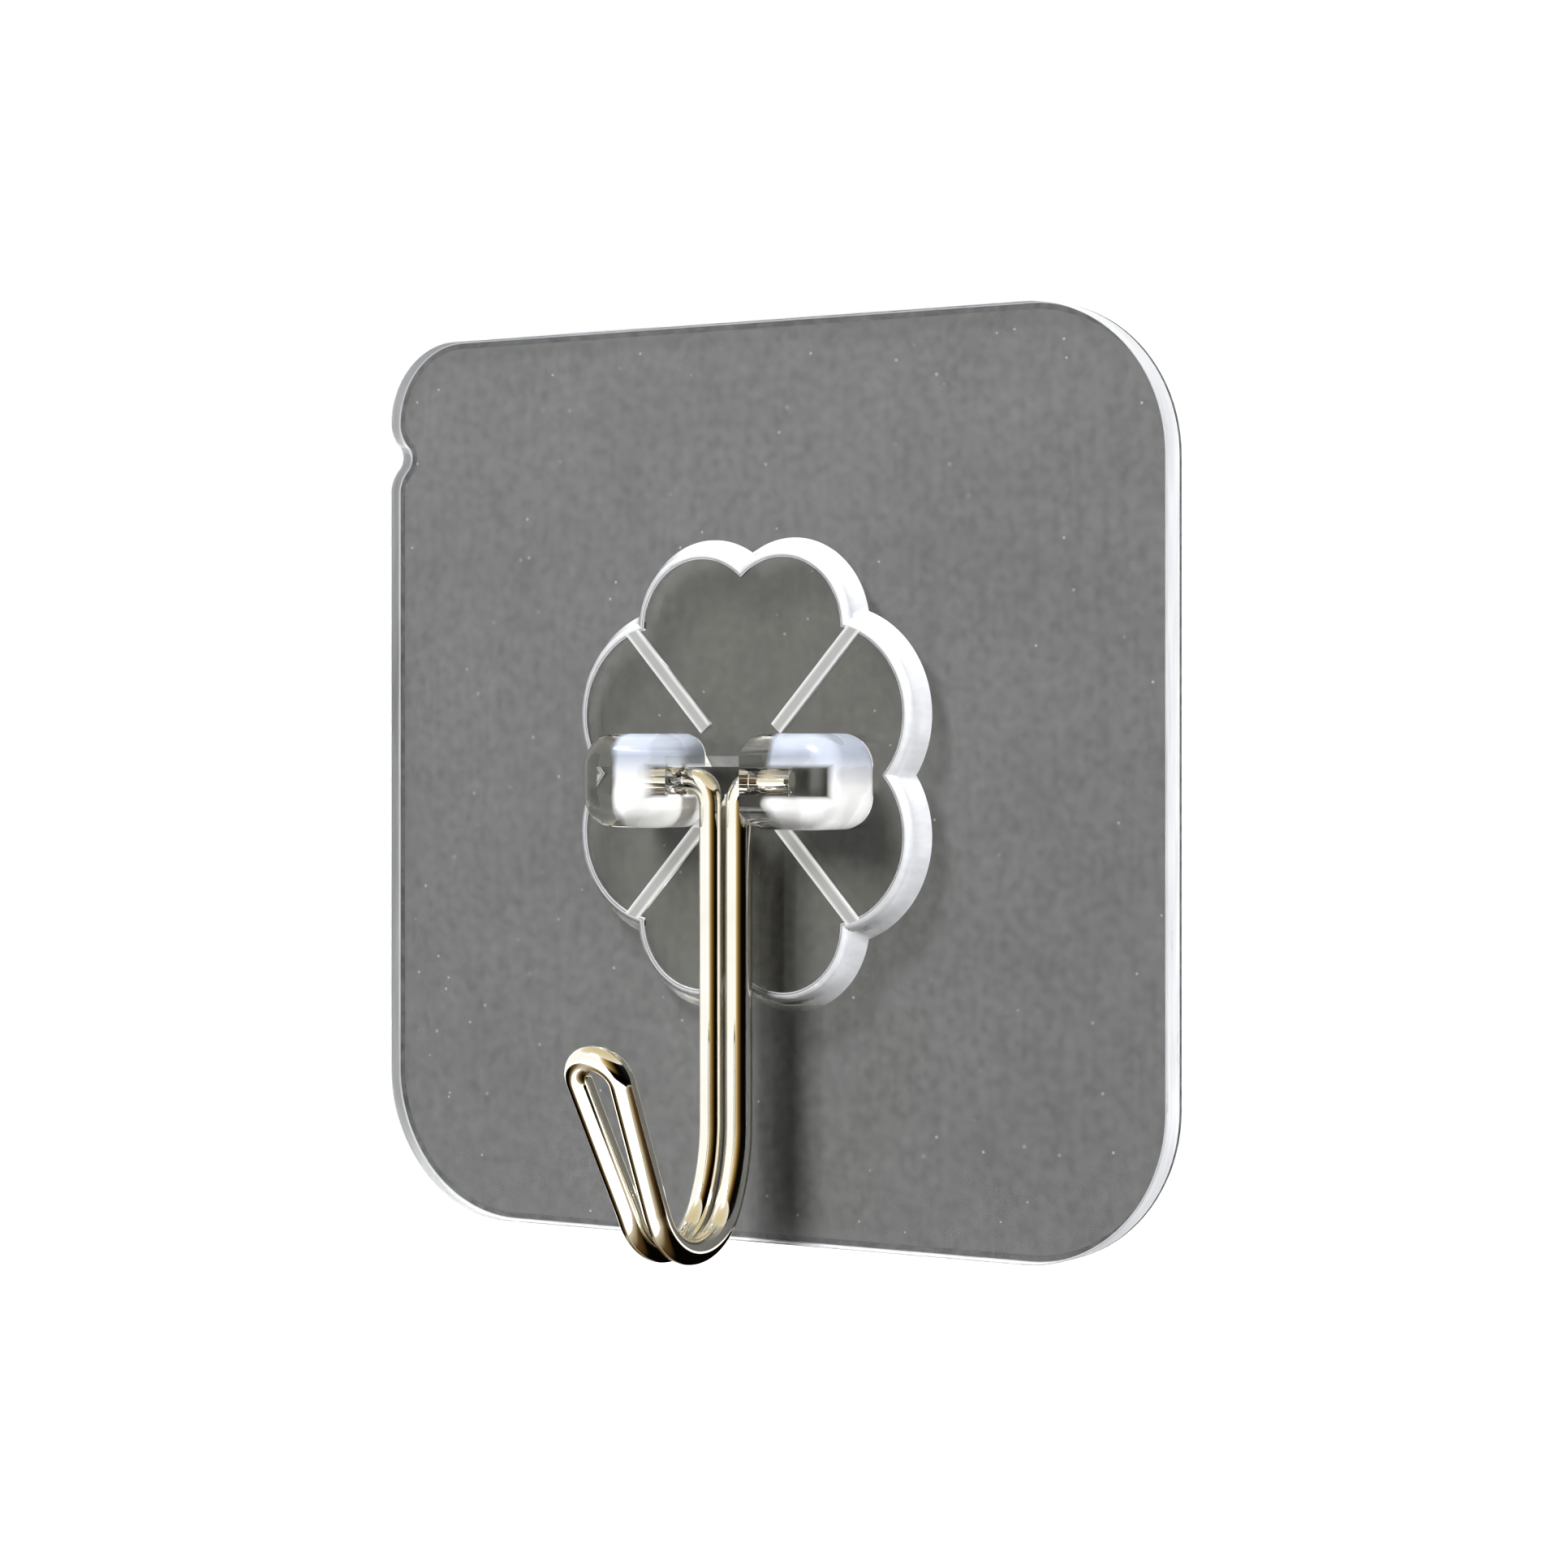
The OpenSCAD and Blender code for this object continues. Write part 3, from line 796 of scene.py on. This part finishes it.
studio = {
    "floorDrop": 380.0,      # mm from the hook's lowest point to the floor
    "floorSize": 6.0,        # m
    "floorGlow": 0.9,        # keeps it white to the eye
    "keyPlace": (-18, 40),   # degrees to the right and up, seen from the plate
    "lampDistance": 0.8,     # m
    "keySize": (0.28, 0.2),  # m, width and height
    "keyPower": 11.8,        # W
    "sidePlace": (88, -12),  # almost in the plate's plane
    "sideSize": (0.15, 0.15),
    "sidePower": 5.4,
    "sky": 1.1,              # what the eye and mirrors see
    "fill": 0.03,            # light on matt surfaces from the room in front
    "backdrop": 2.4,         # and from the white wall behind, that only edges catch
    "seam": 0.02,            # half the width of the change from one to the other
    "cardRadius": 0.5,       # m, a dark card that gives the metal its edge
    "cardFrom": 5.0,         # degrees to the right
    "cardTo": 130.0,
    "cardHeight": 0.8,       # m
    "cardSteps": 24,
    "cardShade": (-0.16, -0.05),  # m, it is black below and has its colours above
    "cardColours": [         # from left to right
        (0.0, "#eadcb8"), (0.1, "#b3935a"), (0.23, "#6a5122"), (0.35, "#1c1408"), (0.45, "#040302"),
    ],
    "roundCards": [          # name, place and radius in mm, and colours from the middle to the rim
        ("leftCard", (-190, 0, -95), 150, [(0.6, "#080605"), (0.85, "#6a5430"), (1.0, "#e4dcc8")]),
        ("lowCard", (40, 130, -95), 180, [(0.7, "#050403"), (0.85, "#5a4322"), (1.0, "#d8cdb4")]),
        ("topCard", (0, 0, 150), 220, [(0.3, "#d8cba6"), (0.7, "#e4d9bc"), (1.0, "#f6f1e6")]),
    ],
    "roundSides": 48,
}


# 1 for what the camera sees straight, in a mirror or through glass
def seenRays(tree):
    path = addNode(tree, "ShaderNodeLightPath")
    mirrored = addNode(tree, "ShaderNodeMath", {"operation": "MAXIMUM"},
                       {0: path.outputs["Is Camera Ray"], 1: path.outputs["Is Glossy Ray"]})
    return addNode(tree, "ShaderNodeMath", {"operation": "MAXIMUM"},
                   {0: mirrored, 1: path.outputs["Is Transmission Ray"]})


def onCircle(azimuth, elevation, distance):
    az, el = math.radians(azimuth), math.radians(elevation)
    return Vector((math.sin(az) * math.cos(el), -math.cos(az) * math.cos(el), math.sin(el))) * distance


# white to the eye all round; what it gives matt surfaces is dim in front and bright behind
def makeWorld():
    world = bpy.data.worlds.new("whiteStudio")
    scene.world = world
    world.use_nodes = True
    tree = world.node_tree
    way = addNode(tree, "ShaderNodeTexCoord").outputs["Generated"]
    apart = addNode(tree, "ShaderNodeSeparateXYZ", None, {"Vector": way})
    cast = addNode(tree, "ShaderNodeMapRange",
                   {"From Min": -studio["seam"], "From Max": studio["seam"],
                    "To Min": studio["fill"], "To Max": studio["backdrop"]}, {"Value": apart.outputs["Y"]})
    level = addNode(tree, "ShaderNodeMix", {"B": studio["sky"]}, {"Factor": seenRays(tree), "A": cast})
    sky = tree.nodes["Background"]
    sky.inputs["Color"].default_value = toLinear("#ffffff")
    linkTo(tree, sky, {"Strength": level})


def stageMesh(name, bm, material):
    mesh = bpy.data.meshes.new(name)
    bm.to_mesh(mesh)
    bm.free()
    mesh.materials.append(material)
    prop = bpy.data.objects.new(name, mesh)
    scene.collection.objects.link(prop)
    return prop


def makeFloor():
    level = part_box("wire_hook")[0].z - studio["floorDrop"] * mm
    bm = bmesh.new()
    bmesh.ops.create_grid(bm, x_segments=1, y_segments=1, size=studio["floorSize"] / 2,
                          matrix=Matrix.Translation((0, 0, level)))
    material, tree = newMaterial("whitePaperFloor", {"Base Color": toLinear("#d0d0d0"), "Roughness": 0.9,
                                                     "Emission Color": toLinear("#ffffff")})
    glow = addNode(tree, "ShaderNodeMath", {"operation": "MULTIPLY", 1: studio["floorGlow"]},
                   {0: seenRays(tree)})
    linkTo(tree, tree.nodes["Principled BSDF"], {"Emission Strength": glow})
    stageMesh("floor", bm, material).visible_diffuse = False  # throws no light up at the film


def makeLamp(name):
    data = bpy.data.lights.new(name + "Softbox", "AREA")
    data.shape = "RECTANGLE"
    data.size, data.size_y = studio[name + "Size"]
    data.energy = studio[name + "Power"]
    lamp = bpy.data.objects.new(name + "Softbox", data)
    lamp.location = onCircle(*studio[name + "Place"], studio["lampDistance"])
    lamp.rotation_euler = lamp.location.to_track_quat("Z", "Y").to_euler()
    scene.collection.objects.link(lamp)
    return lamp


# only mirrors and glass see a card
def stageCard(name, bm, material):
    card = stageMesh(name, bm, material)
    card.visible_camera = False
    card.visible_diffuse = False
    card.visible_shadow = False


# a card bent round the front right, warm at its left end and black further round and below
def makeDarkCard():
    bm = bmesh.new()
    foot = onCircle(studio["cardFrom"], 0, studio["cardRadius"])
    half = Vector((0, 0, studio["cardHeight"] / 2))
    edge = bm.edges.new([bm.verts.new(foot - half), bm.verts.new(foot + half)])
    bmesh.ops.spin(bm, geom=[edge], cent=(0, 0, 0), axis=(0, 0, 1), steps=studio["cardSteps"],
                   angle=math.radians(studio["cardTo"] - studio["cardFrom"]))
    material, tree = newMaterial("warmDarkCard")
    place = addNode(tree, "ShaderNodeTexCoord").outputs["Object"]
    turned = addNode(tree, "ShaderNodeMapping", {"Rotation": (0, 0, math.radians(quarterTurn))},
                     {"Vector": place})
    around = addNode(tree, "ShaderNodeTexGradient", {"gradient_type": "RADIAL"}, {"Vector": turned})
    front = 0.5  # what the gradient gives straight in front
    start, end = (front + angle / fullTurn for angle in (studio["cardFrom"], studio["cardTo"]))
    share = addNode(tree, "ShaderNodeMapRange", {"From Min": start, "From Max": end},
                    {"Value": around.outputs["Fac"]})
    tone = addNode(tree, "ShaderNodeValToRGB", {"stops": studio["cardColours"]}, {"Fac": share})
    apart = addNode(tree, "ShaderNodeSeparateXYZ", None, {"Vector": place})
    black, coloured = studio["cardShade"]
    shade = addNode(tree, "ShaderNodeMapRange", {"From Min": black, "From Max": coloured},
                    {"Value": apart.outputs["Z"]})
    glow = addNode(tree, "ShaderNodeEmission", None, {"Color": tone, "Strength": shade})
    linkTo(tree, tree.nodes["Material Output"], {"Surface": glow})
    stageCard("darkCard", bm, material)


# a level round card, soft at its rim
def makeRoundCard(name, place, radius, colours):
    centre = Vector(place) * mm
    bm = bmesh.new()
    bmesh.ops.create_circle(bm, cap_ends=True, segments=studio["roundSides"], radius=radius * mm,
                            matrix=Matrix.Translation(centre))
    material, tree = newMaterial(name + "Paper")
    spot = addNode(tree, "ShaderNodeTexCoord").outputs["Object"]
    away = addNode(tree, "ShaderNodeVectorMath", {"operation": "DISTANCE", 1: centre}, {0: spot})
    share = addNode(tree, "ShaderNodeMapRange", {"From Max": radius * mm}, {"Value": away.outputs["Value"]})
    tone = addNode(tree, "ShaderNodeValToRGB", {"stops": colours}, {"Fac": share})
    glow = addNode(tree, "ShaderNodeEmission", {"Strength": 1.0}, {"Color": tone})
    linkTo(tree, tree.nodes["Material Output"], {"Surface": glow})
    stageCard(name, bm, material)


makeWorld()
makeFloor()
for card in studio["roundCards"]:
    makeRoundCard(*card)
makeLamp("key")
makeLamp("side").visible_glossy = False  # for the walls alone
makeDarkCard()
print("studio made")
